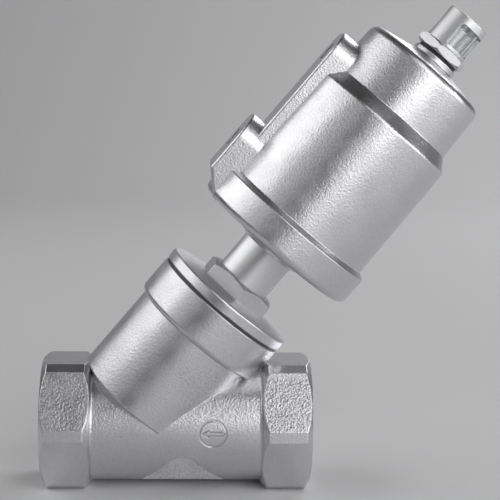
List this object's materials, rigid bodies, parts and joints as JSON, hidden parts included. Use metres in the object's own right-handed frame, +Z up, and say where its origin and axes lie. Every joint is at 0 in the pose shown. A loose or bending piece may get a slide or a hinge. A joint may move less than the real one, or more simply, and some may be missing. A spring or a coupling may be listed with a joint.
{
  "type": "angle seat valve",
  "caption": "Angle seat valve with threaded hexagon ends, slanted neck, screwed bonnet, yoke tube and a round swivelling piston actuator with air ports and an indicator.",
  "frame": {"origin": "centre of the outlet mouth, on the run axis", "axes": "+X along the run towards the inlet, +Z up with the run level, the stem leaning over towards +X in the XZ plane"},
  "size_m": [0.2435, 0.1008, 0.2699],
  "materials": {
    "cast_stainless": "investment cast, fine bead-blasted grain",
    "turned_stainless": "turned, smooth satin",
    "spring_steel": "drawn wire",
    "bronze": "turned",
    "ptfe": "smooth, waxy",
    "seal_rubber": "moulded",
    "piston_aluminium": "turned",
    "clear_plastic": "clear, polished",
    "white_plastic": "moulded"
  },
  "bodies": {
    "valve": {"valve_body": "cast_stainless", "bonnet_gasket": "ptfe", "bonnet": "cast_stainless", "packing_spring": "spring_steel", "packing_washer": "turned_stainless", "packing_rings": "ptfe", "packing_gland": "turned_stainless", "yoke_tube": "turned_stainless", "stem_guide_bush": "bronze", "stem_seal_ring": "seal_rubber", "swivel_washer": "turned_stainless", "swivel_circlip": "spring_steel"},
    "actuator": {"actuator_cylinder": "cast_stainless", "actuator_base": "turned_stainless", "base_seal_ring": "seal_rubber", "swivel_seal_ring": "seal_rubber", "base_circlip": "spring_steel", "closing_spring_outer": "spring_steel", "closing_spring_inner": "spring_steel", "indicator_seal_ring": "seal_rubber", "indicator_lock_nut": "turned_stainless", "indicator_housing": "turned_stainless", "indicator_window": "clear_plastic"},
    "stem": {"valve_stem": "turned_stainless", "disc_holder": "turned_stainless", "seat_seal": "ptfe", "disc_washer": "turned_stainless", "disc_nut": "turned_stainless", "piston": "piston_aluminium", "piston_seal": "seal_rubber", "piston_guide_band": "ptfe", "piston_washer": "turned_stainless", "piston_nut": "turned_stainless", "indicator_rod": "turned_stainless", "indicator_tip": "white_plastic"}
  },
  "joints": [
    {"name": "stem_lift", "type": "slide", "parent": "valve", "child": "stem", "axis": [0.6428, 0, 0.766], "range_m": [0, 0.014], "stiffness_N_per_m": 6280, "springref_m": -0.05, "deforming": ["closing_spring_outer", "closing_spring_inner"]},
    {"name": "actuator_swivel", "type": "hinge", "parent": "valve", "child": "actuator", "pos_m": [0.044, 0, 0], "axis": [0.6428, 0, 0.766], "continuous": true}
  ]
}
